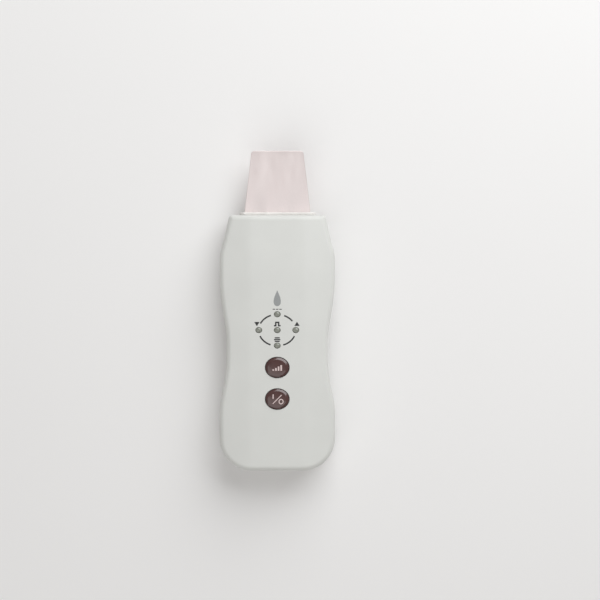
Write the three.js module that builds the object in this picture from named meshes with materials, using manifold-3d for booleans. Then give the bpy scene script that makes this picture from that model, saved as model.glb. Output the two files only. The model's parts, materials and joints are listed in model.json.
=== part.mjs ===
// Ultrasonic skin scrubber, lying on its back.
// Millimetres. X runs across the handle, Y from the charging end to the blade tip.
// Z points up, out of the front face.
// The origin is under the middle of the whole object, on the surface that it rests on.
import * as THREE from "three";
import { mergeVertices } from "three/addons/utils/BufferGeometryUtils.js";
import Module from "manifold-3d";

const wasm = await Module();
wasm.setup();

// ---------- Driving dimensions ----------

const LENGTH = 165; // charging end to blade tip
const CASE_LENGTH = 131.8;
const Y_END = -LENGTH / 2; // charging end
const Y_NOSE = Y_END + CASE_LENGTH; // blade end of the casing
const Y_TIP = LENGTH / 2;

// Plan outline: half widths, and the stretch of Y that each holds
const END_RADIUS = 16.5; // corners of the charging end
const HIP = { half: 29.8, to: -52 };
const WAIST = { half: 26.1, from: -24, to: -16 };
const SHOULDER = { half: 29.7, from: 18, to: 27 };
const TAPER = { half: 27.4, at: 37.5, slope: 0.21 }; // straight run in to the nose
const NOSE_HALF = 24.9;
const NOSE_CORNER = 1.8;

// Side profile
const CROWN = 24; // highest line of the front face
const CROWN_Y = -20;
const END_DROP = 1.2; // fall of the front face at the charging end
const NOSE_DROP = 2.8; // and at the nose
const REAR_RISE = 3; // lift of the back at the nose
const REAR_FLAT_TO = 5; // the back is flat from the charging end to here
const FLANK_FROM = 14; // the front face is level to here, then falls away to each side
const FLANK_SLOPE = 0.185;
const FLANK_BLEND = 2;
const FRONT_EDGE = 2.5; // edge radii of the two covers
const REAR_EDGE = 6;
const WALL = 2;
const GAP = 0.3; // clearance between neighbouring pieces

const PARTING = 12; // height of the seam, and of the blade and transducer axis
const SEAM = 0.15; // each cover stops this far from the seam's middle

// Controls
const RING = { y: -10.1, a: 9.5, b: 8.05 }; // indicator ring: centre and half axes
const LED = { a: 1.6, b: 1.4, proud: 0.35, clear: 0.2 };
const BUTTON = { a: 6, b: 5.15, proud: 1, lip: 0.9, lipThick: 0.8 };
const BUTTON_FOOT = 20.35; // underside of each button's pusher
const LEVEL_Y = -29.3;
const POWER_Y = -45.5;
const PLUNGER = { r: 1.6, top: 20.05, bottom: 17.8 };
const SWITCH = { side: 6, top: 19.3, well: 17 };

// Circuit board and cells
const BOARD = { half: 22, from: -60, to: 2, bottom: 14.2, thick: 1.6 };
const BOARD_TOP = BOARD.bottom + BOARD.thick;
const ON_BOARD = BOARD_TOP + GAP;
const UNDER_BOARD = BOARD.bottom - GAP;
const CELL = { r: 5.25, length: 44.5, front: -20, nub: 0.8 };
const CELL_Z = WALL + GAP + CELL.r;
const CELL_PITCH = 2 * CELL.r + GAP;

// Fastener places
const CASE_SCREWS = { lower: [20.5, -70], upper: [21, 27] };
const BOARD_SCREW = [18.5, -55];
const CLAMP_SCREW = [12.5, 10];
const COUNTERBORE = 5; // depth from the back
const CASE_SCREW = { head: 2.7, headTall: 2, shank: 1.2, length: 13.4 };

// Blade and transducer
const BLADE = { root: 37.5, thick: 1.1, tipThick: 0.5, tab: 6, base: 17.4, tip: 13.4, corner: 1.6 };
const BEND_FROM = 52;
const BEND_ANGLE = THREE.MathUtils.degToRad(26);
const BEND_RUN = Y_TIP - BEND_FROM - (BLADE.tipThick / 2) * Math.sin(BEND_ANGLE);
const BEND_RADIUS = BEND_RUN / Math.sin(BEND_ANGLE);
const STACK_R = 6; // radius of the transducer stack
const RING_R = 7.5; // and of the rubber rings that hold it
const BOLT_R = 2.2;

// Hand electrode and charging pins
const ELECTRODE = { half: 10, from: -61, to: 3, low: 0.25, thick: 0.6 };
const PIN = { x: 7, z: 9, r: 1.5 };

// ---------- Solids ----------

function paint(color, roughness, metalness = 0) {
  return new THREE.MeshStandardMaterial({ color, roughness, metalness });
}

const COLOURS = {
  casing: paint(0xd6d8d3, 0.4),
  button: paint(0x74504c, 0.3),
  seal: paint(0xf1efec, 0.6),
  steel: paint(0xe1d5d4, 0.3, 0.9),
  chrome: paint(0xd9dadc, 0.12, 1),
  screw: paint(0xaeb0b3, 0.35, 1),
  led: paint(0x8f918c, 0.2),
  black: paint(0x1d1e20, 0.6),
  board: paint(0x1f6b3f, 0.5),
  copper: paint(0xb87445, 0.35, 0.9),
  ferrite: paint(0x3a3b3d, 0.7),
  cell: paint(0x2f6f4c, 0.45),
  nickel: paint(0xc3c1b8, 0.3, 1),
  ceramic: paint(0xd8cfc0, 0.6),
  aluminium: paint(0xc4c7ca, 0.35, 1),
  rubber: paint(0x45474a, 0.8),
  foam: paint(0x55585c, 0.95),
  red: paint(0xb3251f, 0.5),
  blackLead: paint(0x202124, 0.5),
  blueLead: paint(0x2a57a5, 0.5),
};

// A closed three.js geometry as a solid that can be cut and joined.
function solid(geometry) {
  const bare = geometry.clone();
  bare.deleteAttribute("normal");
  bare.deleteAttribute("uv");
  const merged = mergeVertices(bare, 1e-4);
  const vertProperties = new Float32Array(merged.attributes.position.array);
  const triVerts = new Uint32Array(merged.index.array);
  return new wasm.Manifold(new wasm.Mesh({ numProp: 3, vertProperties, triVerts }));
}

// A solid as a three.js geometry again, without details finer than this.
const FINEST = 0.03;
function geometryOf(made) {
  const { vertProperties, triVerts } = made.simplify(FINEST).getMesh();
  const geometry = new THREE.BufferGeometry();
  geometry.setAttribute("position", new THREE.BufferAttribute(vertProperties, 3));
  geometry.setIndex(new THREE.BufferAttribute(triVerts, 1));
  geometry.computeVertexNormals();
  return geometry;
}

// A box between two corners.
function block([x0, y0, z0], [x1, y1, z1]) {
  const box = new THREE.BoxGeometry(x1 - x0, y1 - y0, z1 - z0);
  return box.translate((x0 + x1) / 2, (y0 + y1) / 2, (z0 + z1) / 2);
}

// An upright cylinder, oval if b is given.
function post(a, [x, y], z0, z1, { b = a, sides = 16 } = {}) {
  const cylinder = new THREE.CylinderGeometry(1, 1, z1 - z0, sides);
  return cylinder.rotateX(Math.PI / 2).scale(a, b, 1).translate(x, y, (z0 + z1) / 2);
}

// A turned piece about Y, from [radius, y] pairs listed from one end of its axis to the other.
function turned(profile, sides = 20) {
  const rising = profile[0][1] < profile[profile.length - 1][1] ? profile : [...profile].reverse();
  return new THREE.LatheGeometry(
    rising.map(([r, y]) => new THREE.Vector2(r, y)),
    sides,
  );
}

// The same about Z.
const turnedUp = (profile, sides) => turned(profile, sides).rotateX(Math.PI / 2);

// A ring about Y.
function collar(inner, outer, y0, y1, sides = 20) {
  const section = [
    [inner, y0],
    [outer, y0],
    [outer, y1],
    [inner, y1],
    [inner, y0],
  ];
  return new THREE.LatheGeometry(
    section.map(([r, y]) => new THREE.Vector2(r, y)),
    sides,
  );
}

// A flat slab with round ends, long side along X, from y0 to y1, centred on the blade axis.
function lozenge(halfLength, halfHeight, y0, y1) {
  const straight = halfLength - halfHeight;
  const shape = new THREE.Shape();
  shape.absarc(straight, 0, halfHeight, -Math.PI / 2, Math.PI / 2);
  shape.absarc(-straight, 0, halfHeight, Math.PI / 2, (3 * Math.PI) / 2);
  const slab = new THREE.ExtrudeGeometry(shape, { depth: y1 - y0, bevelEnabled: false, curveSegments: 5 });
  return slab.rotateX(Math.PI / 2).translate(0, y1, PARTING);
}

// A wire along a smooth line through its points.
function lead(points, radius = 0.6) {
  const section = new THREE.Shape().absarc(0, 0, radius, 0, 2 * Math.PI);
  const extrudePath = new THREE.CatmullRomCurve3(points.map((p) => new THREE.Vector3(...p)));
  return new THREE.ExtrudeGeometry(section, { steps: 3 * points.length, curveSegments: 3, extrudePath });
}

// The edge of a grid of points, anticlockwise from above.
function rim(grid) {
  const last = grid.length - 1;
  const right = grid.slice(1, last).map((row) => row.at(-1));
  const left = grid.slice(1, last).map((row) => row[0]);
  return [...grid[0], ...right, ...[...grid[last]].reverse(), ...left.reverse()];
}

// A closed solid between an upper and a lower grid of points, whose sides pass through the loops given.
function skin(upper, loops, lower) {
  const points = [];
  const faces = [];
  const store = (list) => list.map((p) => points.push(p) - 1);
  const quad = (a, b, c, d) => faces.push(a, b, c, a, c, d);
  const top = upper.map(store);
  const bottom = lower.map(store);
  const sheet = (grid, face) => {
    for (let i = 0; i + 1 < grid.length; i++) {
      for (let j = 0; j + 1 < grid[i].length; j++) {
        face(grid[i][j], grid[i][j + 1], grid[i + 1][j + 1], grid[i + 1][j]);
      }
    }
  };
  sheet(top, quad);
  sheet(bottom, (a, b, c, d) => quad(d, c, b, a));
  const belts = [rim(top), ...loops.map(store), rim(bottom)];
  for (let k = 0; k + 1 < belts.length; k++) {
    const [high, low] = [belts[k], belts[k + 1]];
    high.forEach((_, i) => {
      const next = (i + 1) % high.length;
      quad(low[i], low[next], high[next], high[i]);
    });
  }
  const geometry = new THREE.BufferGeometry().setFromPoints(points);
  geometry.setIndex(faces);
  return geometry;
}

// ---------- Casing surface ----------

// Right-hand half of the plan outline, drawn in by inset, from the charging end's flat to the nose's flat.
function halfOutline(inset) {
  const v = (x, y) => new THREE.Vector2(x, y);
  const hip = HIP.half - inset;
  const waist = WAIST.half - inset;
  const shoulder = SHOULDER.half - inset;
  const taper = TAPER.half - inset;
  const cornerY = Y_END + END_RADIUS;
  const nose = v(NOSE_HALF - inset, Y_NOSE - inset);
  const corner = NOSE_CORNER * Math.max(1 - inset / 2.5, 0.3);
  const noseStart = v(nose.x + TAPER.slope * corner, nose.y - corner);
  const bend = (...ends) => new THREE.CubicBezierCurve(...ends);
  const line = (...ends) => new THREE.LineCurve(...ends);
  const endRadius = END_RADIUS - inset;
  const cornerX = HIP.half - END_RADIUS;
  const endCorner = new THREE.EllipseCurve(cornerX, cornerY, endRadius, endRadius, -Math.PI / 2, 0);
  const hipToWaist = bend(v(hip, HIP.to), v(hip, -45.5), v(waist, -37), v(waist, WAIST.from));
  const waistToShoulder = bend(v(waist, WAIST.to), v(waist, -7), v(shoulder, 3), v(shoulder, SHOULDER.from));
  const shoulderToTaper = bend(
    v(shoulder, SHOULDER.to),
    v(shoulder, SHOULDER.to + 3.5),
    v(taper + 4.5 * TAPER.slope, TAPER.at - 4.5),
    v(taper, TAPER.at),
  );
  const stretches = [
    [endCorner, 5],
    [line(v(hip, cornerY), v(hip, HIP.to)), 1],
    [hipToWaist, 4],
    [line(v(waist, WAIST.from), v(waist, WAIST.to)), 1],
    [waistToShoulder, 4],
    [line(v(shoulder, SHOULDER.from), v(shoulder, SHOULDER.to)), 1],
    [shoulderToTaper, 3],
    [line(v(taper, TAPER.at), noseStart), 1],
    [new THREE.QuadraticBezierCurve(noseStart, nose, v(nose.x - corner, nose.y)), 2],
  ];
  const points = stretches.flatMap(([curve, steps]) => curve.getPoints(steps).slice(0, steps));
  return [...points, v(nose.x - corner, nose.y)];
}

// The plan as a grid: one row across the handle for each point of the half outline.
function planGrid(inset, height) {
  const columns = [-1, -0.76, -0.5, 0, 0.5, 0.76, 1];
  const row = ({ x, y }) => columns.map((c) => new THREE.Vector3(c * x, y, height(c * x, y)));
  return halfOutline(inset).map(row);
}

// A ramp that starts smoothly at zero.
const softRamp = (t) => (t + Math.hypot(t, FLANK_BLEND)) / 2;

// Height of the front face: crowned along its length, level in the middle, with a falling flank each side.
function frontHeight(x, y) {
  const along = (y - CROWN_Y) / (y < CROWN_Y ? CROWN_Y - Y_END : Y_NOSE - CROWN_Y);
  const drop = (y < CROWN_Y ? END_DROP : NOSE_DROP) * along ** 2;
  return CROWN - drop - FLANK_SLOPE * softRamp(Math.abs(x) - FLANK_FROM);
}

// Height of the back: flat where it rests, rising towards the nose.
function rearHeight(x, y) {
  return REAR_RISE * (Math.max(y - REAR_FLAT_TO, 0) / (Y_NOSE - REAR_FLAT_TO)) ** 2;
}

// The whole casing as one solid, drawn in on every side by inset.
function casingBody(inset) {
  const front = Math.max(FRONT_EDGE - inset, 0.5);
  const rear = Math.max(REAR_EDGE - inset, 0.5);
  const loop = (radius, angle, face) => {
    const drawnIn = inset + radius * (1 - Math.sin(angle));
    const fall = radius * (1 - Math.cos(angle));
    return rim(planGrid(drawnIn, (x, y) => face(x, y, fall)));
  };
  const high = (x, y, fall = 0) => frontHeight(x, y) - inset - fall;
  const low = (x, y, fall = 0) => rearHeight(x, y) + inset + fall;
  const angles = (radius) => {
    const steps = Math.ceil(radius / 2);
    return Array.from({ length: steps }, (_, i) => ((i + 1) / steps) * (Math.PI / 2));
  };
  const upperEdge = angles(front).map((angle) => loop(front, angle, high));
  const lowerEdge = angles(rear).reverse().map((angle) => loop(rear, angle, low));
  return skin(planGrid(inset + front, high), [...upperEdge, ...lowerEdge], planGrid(inset + rear, low));
}

// An upright band that follows the outline, between two insets.
function band(outer, inner, z0, z1) {
  const wall = (inset) => skin(planGrid(inset, () => z1), [], planGrid(inset, () => z0));
  return solid(wall(outer)).subtract(solid(wall(inner)));
}

const REACH = 100; // larger than the object
const upperHalf = solid(block([-REACH, -REACH, PARTING + SEAM], [REACH, REACH, REACH]));
const lowerHalf = solid(block([-REACH, -REACH, -REACH], [REACH, REACH, PARTING - SEAM]));
const outerBody = solid(casingBody(0));
const cavity = solid(casingBody(WALL));
const nearSolid = solid(casingBody(WALL / 2)); // bosses and ribs end inside the walls

const ledPlaces = {
  top: [0, RING.y + RING.b + 0.1],
  left: [-RING.a, RING.y],
  centre: [0, RING.y],
  right: [RING.a, RING.y],
  bottom: [0, RING.y - RING.b + 0.1],
};
const bothSides = ([x, y]) => [
  [-x, y],
  [x, y],
];
const caseScrewPlaces = [...bothSides(CASE_SCREWS.lower), ...bothSides(CASE_SCREWS.upper)];
const joinAll = (start, pieces) => pieces.reduce((made, piece) => made.add(piece), start);
const cutAll = (start, pieces) => pieces.reduce((made, piece) => made.subtract(piece), start);

const sealSlot = solid(lozenge(18.7, 2.2, Y_NOSE - WALL - 1, Y_NOSE + 1));

// ---------- Casing pieces ----------

// Front shell, with its screw posts, board posts, button holes and indicator holes.
function frontCover() {
  const posts = [
    ...caseScrewPlaces.map((at) => solid(post(3, at, PARTING + SEAM, CROWN))),
    ...bothSides(BOARD_SCREW).map((at) => solid(post(2.5, at, ON_BOARD, CROWN))),
  ];
  const shell = outerBody.intersect(upperHalf).subtract(cavity);
  const fitted = joinAll(shell, posts.map((p) => p.intersect(nearSolid)));
  const holes = [
    ...caseScrewPlaces.map((at) => solid(post(1.5, at, PARTING - 1, 19.5, { sides: 12 }))),
    ...bothSides(BOARD_SCREW).map((at) => solid(post(1.35, at, PARTING, 20, { sides: 12 }))),
    ...[LEVEL_Y, POWER_Y].map((y) =>
      solid(post(BUTTON.a + GAP, [0, y], PARTING, REACH, { b: BUTTON.b + GAP, sides: 28 })),
    ),
    ...Object.values(ledPlaces).map((at) =>
      solid(post(LED.a + LED.clear, at, PARTING, REACH, { b: LED.b + LED.clear, sides: 12 })),
    ),
  ];
  return geometryOf(cutAll(fitted, [...holes, sealSlot]));
}

// A rib across the handle with a round notch that holds one of the transducer's rubber rings.
function cradle(y) {
  const plate = solid(block([-16, y - 1, 0], [16, y + 1, PARTING - SEAM]));
  const notch = solid(turned([[0, y - 2], [RING_R + GAP, y - 2], [RING_R + GAP, y + 2], [0, y + 2]], 28));
  return plate.subtract(notch.translate([0, 0, PARTING]));
}

// Rear shell, with its counterbored posts, cell stops and transducer cradles.
// It also has the seam's lip, the electrode's pocket and the pin holes.
function rearCover() {
  const posts = [
    ...caseScrewPlaces.map((at) => solid(post(4, at, 0, PARTING - SEAM))),
    ...bothSides(CLAMP_SCREW).map((at) => solid(post(2.6, at, 0, PARTING - SEAM))),
  ];
  const cellStops = [CELL.front + 3, CELL.front - CELL.length - 2.5].map((y) =>
    solid(block([-14, y - 0.6, 0], [14, y + 0.6, 5])),
  );
  const ribs = [cradle(CLAMP_SCREW[1]), cradle(28), ...cellStops];
  const shell = outerBody.intersect(lowerHalf).subtract(cavity);
  const fitted = joinAll(shell, [...posts, ...ribs].map((p) => p.intersect(nearSolid)));
  const lipFoot = band(WALL - 0.5, WALL + 1.1, PARTING - 2.2, PARTING - SEAM);
  const lip = band(WALL + GAP, WALL + 1.1, PARTING - 0.5, PARTING + 1.3);
  const lipBreaks = [
    solid(block([-20.5, Y_NOSE - 6, 0], [20.5, REACH, REACH])),
    solid(block([-12, -REACH, 0], [12, Y_END + 6, REACH])),
  ];
  const holes = [
    ...caseScrewPlaces.map((at) => solid(post(3.1, at, -1, COUNTERBORE))),
    ...caseScrewPlaces.map((at) => solid(post(1.5, at, 0, PARTING, { sides: 12 }))),
    ...bothSides(CLAMP_SCREW).map((at) => solid(post(1.1, at, 5, PARTING, { sides: 12 }))),
    ...[-PIN.x, PIN.x].map((x) => solid(pinHole(x))),
    solid(pill(GAP, -1, ELECTRODE.low + ELECTRODE.thick + 0.25)),
    solid(post(1.3, [0, ELECTRODE.to - 4], 0, 4, { sides: 12 })),
  ];
  const lips = cutAll(lipFoot.add(lip), lipBreaks);
  return geometryOf(cutAll(fitted.add(lips), [...holes, sealSlot]));
}

// Hole through the charging end for one charging pin.
function pinHole(x) {
  const length = WALL + 2;
  const cylinder = new THREE.CylinderGeometry(PIN.r + GAP, PIN.r + GAP, length, 16);
  return cylinder.translate(x, Y_END + WALL / 2, PIN.z);
}

// The electrode's round-ended outline, grown by some clearance, between two heights.
function pill(grow, z0, z1) {
  const r = ELECTRODE.half;
  const shape = new THREE.Shape();
  shape.absarc(0, ELECTRODE.to - r, r + grow, 0, Math.PI);
  shape.absarc(0, ELECTRODE.from + r, r + grow, Math.PI, 2 * Math.PI);
  const plate = new THREE.ExtrudeGeometry(shape, { depth: z1 - z0, bevelEnabled: false, curveSegments: 10 });
  return plate.translate(0, 0, z0);
}

// Metal plate on the back that the palm touches, with a stud through the casing.
function handElectrode() {
  const plate = solid(pill(0, ELECTRODE.low, ELECTRODE.low + ELECTRODE.thick));
  return geometryOf(plate.add(solid(post(1, [0, ELECTRODE.to - 4], ELECTRODE.low, 5, { sides: 12 }))));
}

// Soft grommet round the blade, clipped over the edges of the slot in the nose.
function bladeSeal() {
  const outerFlange = solid(lozenge(19.6, 3.1, Y_NOSE + GAP, Y_NOSE + 1.6));
  const innerFlange = solid(lozenge(19.6, 3.1, Y_NOSE - WALL - 1.6, Y_NOSE - WALL - GAP));
  const neck = solid(lozenge(18.4, 1.9, Y_NOSE - WALL - 1, Y_NOSE + 1));
  const slot = solid(block([-17.7, 0, PARTING - 0.85], [17.7, REACH, PARTING + 0.85]));
  return geometryOf(neck.add(outerFlange).add(innerFlange).subtract(slot));
}

// Cross-head screw standing on its head's top at z = 0, pointing up.
function screw({ head, headTall, shank, length }) {
  const body = turnedUp([
    [0, 0],
    [head * 0.8, 0],
    [head, headTall * 0.45],
    [head, headTall],
    [shank, headTall],
    [shank, length - 1],
    [0.3, length],
    [0, length],
  ], 12);
  const arm = head * 0.55;
  const slots = [block([-arm, -0.3, -1], [arm, 0.3, 0.9]), block([-0.3, -arm, -1], [0.3, arm, 0.9])];
  return geometryOf(cutAll(solid(body), slots.map(solid)));
}

// ---------- Controls ----------

// Oval button: a domed cap over a retaining lip and a pusher.
function button(y) {
  const face = frontHeight(0, y);
  const lipTop = face - WALL - 0.45;
  const oval = BUTTON.b / BUTTON.a;
  const cap = turnedUp([
    [0, BUTTON_FOOT],
    [3, BUTTON_FOOT],
    [3, lipTop - BUTTON.lipThick],
    [BUTTON.a + BUTTON.lip, lipTop - BUTTON.lipThick],
    [BUTTON.a + BUTTON.lip, lipTop],
    [BUTTON.a, lipTop],
    [BUTTON.a, face + BUTTON.proud - 0.75],
    [BUTTON.a - 0.35, face + BUTTON.proud - 0.3],
    [BUTTON.a - 1.1, face + BUTTON.proud - 0.05],
    [BUTTON.a - 2.6, face + BUTTON.proud],
    [0, face + BUTTON.proud],
  ], 28);
  return cap.scale(1, oval, 1);
}

// Tactile switch body with the well that its plunger slides in.
function tactSwitch() {
  const h = SWITCH.side / 2;
  const body = solid(block([-h, -h, ON_BOARD], [h, h, SWITCH.top]));
  return geometryOf(body.subtract(solid(post(PLUNGER.r + GAP, [0, 0], SWITCH.well, REACH))));
}

// Indicator lamp: domed oval head, foot flange and two legs.
function indicatorLed(place) {
  const top = frontHeight(...place) + LED.proud;
  const head = turnedUp([
    [0, 18.7],
    [LED.a + 0.35, 18.7],
    [LED.a + 0.35, 19.5],
    [LED.a, 19.5],
    [LED.a, top - 1],
    [LED.a * 0.87, top - 0.5],
    [LED.a * 0.5, top - 0.13],
    [0, top],
  ], 12).scale(1, LED.b / LED.a, 1);
  const legs = [-0.9, 0.9].map((x) => solid(block([x - 0.25, -0.25, ON_BOARD], [x + 0.25, 0.25, 19])));
  return geometryOf(joinAll(solid(head), legs));
}

// Spacer that holds the lamps upright on the board.
function ledHolder() {
  const [halfWide, halfLong] = [12.2, 10.6];
  const plate = solid(block([-halfWide, RING.y - halfLong, ON_BOARD], [halfWide, RING.y + halfLong, 18.4]));
  const holes = Object.values(ledPlaces).map((at) => solid(post(1.5, at, 0, REACH, { sides: 12 })));
  return geometryOf(cutAll(plate, holes));
}

// ---------- Electronics ----------

// Circuit board with its two screw holes.
function mainBoard() {
  const plate = solid(block([-BOARD.half, BOARD.from, BOARD.bottom], [BOARD.half, BOARD.to, BOARD_TOP]));
  const holes = bothSides(BOARD_SCREW).map((at) => solid(post(1.4, at, 0, REACH)));
  return geometryOf(cutAll(plate, holes));
}

// Double-E core of the drive transformer, its windows open along Y.
function transformerCore() {
  const core = solid(block([-7, -3, 3.4], [7, 3, UNDER_BOARD]));
  const windows = [-3.5, 3.5].map((x) => solid(block([x - 1.5, -4, 5.4], [x + 1.5, 4, 11.9])));
  return geometryOf(cutAll(core, windows));
}

// Winding round the core's middle leg.
function transformerCoil() {
  const outside = solid(block([-4.7, -6, 5.7], [4.7, 6, 11.6]));
  return geometryOf(outside.subtract(solid(block([-2.3, -3.3, 0], [2.3, 3.3, REACH]))));
}

// Drum-wound coil that tunes the drive.
const tuningCoil = () =>
  turnedUp([
    [0, 4.9],
    [4.5, 4.9],
    [4.5, 6.2],
    [3.8, 6.4],
    [3.8, 12.4],
    [4.5, 12.6],
    [4.5, UNDER_BOARD],
    [0, UNDER_BOARD],
  ]);

// Can with a crimped groove near its foot.
const storageCapacitor = () =>
  turnedUp([
    [0, 5.9],
    [2.8, 5.9],
    [3.15, 6.2],
    [3.15, 12.6],
    [2.9, 12.9],
    [3.15, 13.2],
    [3.15, UNDER_BOARD],
    [0, UNDER_BOARD],
  ]);

// Power transistor: moulded body on its metal tab.
function driverTransistor() {
  const body = solid(block([-3.3, -4.5, ON_BOARD], [3.3, 1.7, 18.4]));
  return geometryOf(body.add(solid(block([-2.7, 1.5, ON_BOARD], [2.7, 4.6, 16.9]))));
}

// Controller chip with its rows of legs.
function controllerChip() {
  const body = solid(block([-5, -2.7, ON_BOARD + 0.2], [5, 2.7, 18]));
  const legs = [-4.2, -2.8, -1.4, 0, 1.4, 2.8, 4.2].map((x) =>
    solid(block([x - 0.25, -3.8, ON_BOARD], [x + 0.25, 3.8, ON_BOARD + 0.7])),
  );
  return geometryOf(joinAll(body, legs));
}

// Lead connector: an open-topped socket.
function leadConnector() {
  const shell = solid(block([-3.7, -2.5, ON_BOARD], [3.7, 2.5, 20.1]));
  return geometryOf(shell.subtract(solid(block([-2.9, -1.7, 17.6], [2.9, 1.7, REACH]))));
}

// Rechargeable cell along Y, its middle at the origin and its nub towards +Y.
const batteryCell = () => {
  const half = CELL.length / 2;
  return turned([
    [0, -half],
    [CELL.r - 0.4, -half],
    [CELL.r, 0.4 - half],
    [CELL.r, half - CELL.nub - 0.4],
    [CELL.r - 0.4, half - CELL.nub],
    [1.9, half - CELL.nub],
    [1.9, half],
    [0, half],
  ]);
};

// Nickel strip across the ends of two cells.
const batteryLink = () => block([-CELL_PITCH / 2 - 2, -0.15, -2], [CELL_PITCH / 2 + 2, 0.15, 2]);

// Charging pin along Y: contact face, collar inside the wall and solder tail.
const chargingPin = () =>
  turned([
    [0, Y_END + 0.25],
    [PIN.r - 0.3, Y_END + 0.25],
    [PIN.r, Y_END + 0.6],
    [PIN.r, Y_END + WALL + GAP],
    [PIN.r + 0.8, Y_END + WALL + GAP],
    [PIN.r + 0.8, Y_END + WALL + 1.1],
    [0.6, Y_END + WALL + 1.1],
    [0.6, Y_END + WALL + 4],
    [0, Y_END + WALL + 4],
  ], 12);

// Small board that the charging pins are soldered to.
function contactBoard() {
  const y = Y_END + WALL + 1.4;
  const plate = solid(block([-11, y, 5], [11, y + 1.2, PARTING + 1]));
  const hole = (x) => solid(new THREE.CylinderGeometry(0.9, 0.9, 6, 12).translate(x, y, PIN.z));
  return geometryOf(cutAll(plate, [-PIN.x, PIN.x].map(hole)));
}

// ---------- Blade and transducer ----------

// Middle line of the blade at a distance along it from the bend's start.
// It is straight before the bend and curves up after it.
function bladeLine(s) {
  const angle = Math.max(s, 0) / BEND_RADIUS;
  const rise = BEND_RADIUS * (1 - Math.cos(angle));
  const run = s < 0 ? s : BEND_RADIUS * Math.sin(angle);
  return { y: BEND_FROM + run, z: PARTING + rise, angle };
}

// Half width of the blade at a place along Y: root tab, flare inside the nose, then the tapering scraper.
function bladeHalfWidth(y) {
  const end = BEND_FROM + BEND_RUN;
  const share = Math.max((y - Y_NOSE) / (end - Y_NOSE), 0);
  const side = THREE.MathUtils.lerp(BLADE.base, BLADE.tip, share);
  const fromTip = Math.max(BLADE.corner - (end - y), 0);
  return side - BLADE.corner + Math.sqrt(Math.max(BLADE.corner ** 2 - fromTip ** 2, 0));
}

// Spatula blade: a thin steel plate, bent towards the front and ground thinner at its tip.
function scraperBlade() {
  const bendLength = BEND_RADIUS * BEND_ANGLE;
  const stations = [
    [BLADE.root - BEND_FROM, BLADE.tab],
    [43 - BEND_FROM, BLADE.tab],
    [45.4 - BEND_FROM, BLADE.base],
    ...[0, 0.14, 0.28, 0.42, 0.56, 0.7, 0.84, 0.945, 0.965, 0.985, 1].map((share) => [share * bendLength]),
  ];
  const grid = (side) =>
    stations.map(([s, half]) => {
      const { y, z, angle } = bladeLine(s);
      const ground = THREE.MathUtils.smoothstep(s, bendLength * 0.7, bendLength);
      const off = (side * THREE.MathUtils.lerp(BLADE.thick, BLADE.tipThick, ground)) / 2;
      const wide = half ?? bladeHalfWidth(y);
      const place = (c) => new THREE.Vector3(c * wide, y - off * Math.sin(angle), z + off * Math.cos(angle));
      return [-1, -0.5, 0, 0.5, 1].map(place);
    });
  return skin(grid(1), [], grid(-1));
}

// Front horn of the transducer, slotted for the blade's root and bored for the bolt.
function frontHorn() {
  const body = solid(turned([
    [0, 26],
    [STACK_R, 26],
    [STACK_R, 30.2],
    [6.5, 30.2],
    [6.5, 31.6],
    [STACK_R, 31.6],
    [4, 36.5],
    [4, 43.5],
    [0, 43.5],
  ]));
  const slot = solid(block([-5, 37.1, -0.85], [5, 44, 0.85]));
  const bore = solid(turned([[0, 20], [BOLT_R + GAP, 20], [BOLT_R + GAP, 34.5], [0, 34.5]], 16));
  return geometryOf(cutAll(body, [slot, bore]));
}

// Copper washer between the piezo rings, with a solder tab at one side.
function piezoElectrode() {
  const ring = solid(collar(BOLT_R + 0.5, STACK_R, 21, 21.4));
  const tab = block([-9, 21, -1.2], [-5, 21.4, 1.2]).rotateY(THREE.MathUtils.degToRad(35));
  return geometryOf(ring.add(solid(tab)));
}

// Back mass with a recess for the bolt's head.
function backMass() {
  const body = solid(collar(BOLT_R + 0.5, STACK_R, 6.4, 16.4));
  return geometryOf(body.subtract(solid(turned([[0, 5], [4.2, 5], [4.2, 9.6], [0, 9.6]]))));
}

// Socket-head bolt that clamps the stack together.
function transducerBolt() {
  const body = solid(turned([[0, 5.3], [3.8, 5.3], [3.8, 9.3], [BOLT_R, 9.3], [BOLT_R, 34], [0, 34]]));
  return geometryOf(body.subtract(solid(new THREE.CylinderGeometry(1.9, 1.9, 4, 6).translate(0, 5.3, 0))));
}

// Strap that arches over the rear rubber ring, with an ear for a screw at each side.
function transducerClamp() {
  const [x, y] = CLAMP_SCREW;
  const arch = solid(collar(RING_R + GAP, RING_R + 1.5, y - 2.2, y + 2.2, 28));
  const top = solid(block([-20, y - 3, GAP], [20, y + 3, 20]));
  const ear = (middle) => solid(block([middle - 4.2, y - 2.2, GAP], [middle + 4.2, y + 2.2, 1.8]));
  const ears = [-x, x].map(ear);
  const bore = solid(turned([[0, y - 3], [RING_R + GAP, y - 3], [RING_R + GAP, y + 3], [0, y + 3]], 28));
  const holes = bothSides(CLAMP_SCREW).map((at) => solid(post(1.3, at, -5, 5, { sides: 12 })));
  return geometryOf(cutAll(joinAll(arch.intersect(top), ears), [bore, ...holes]));
}

// ---------- Assembly ----------

const scrubber = new THREE.Group();
const SIDES = { left: -1, right: 1 };

function add(parent, name, geometry, material, [x, y, z] = [0, 0, 0], turn = 0) {
  const mesh = new THREE.Mesh(geometry, material);
  mesh.name = name;
  mesh.position.set(x, y, z);
  mesh.rotation.x = turn;
  parent.add(mesh);
}

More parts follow.
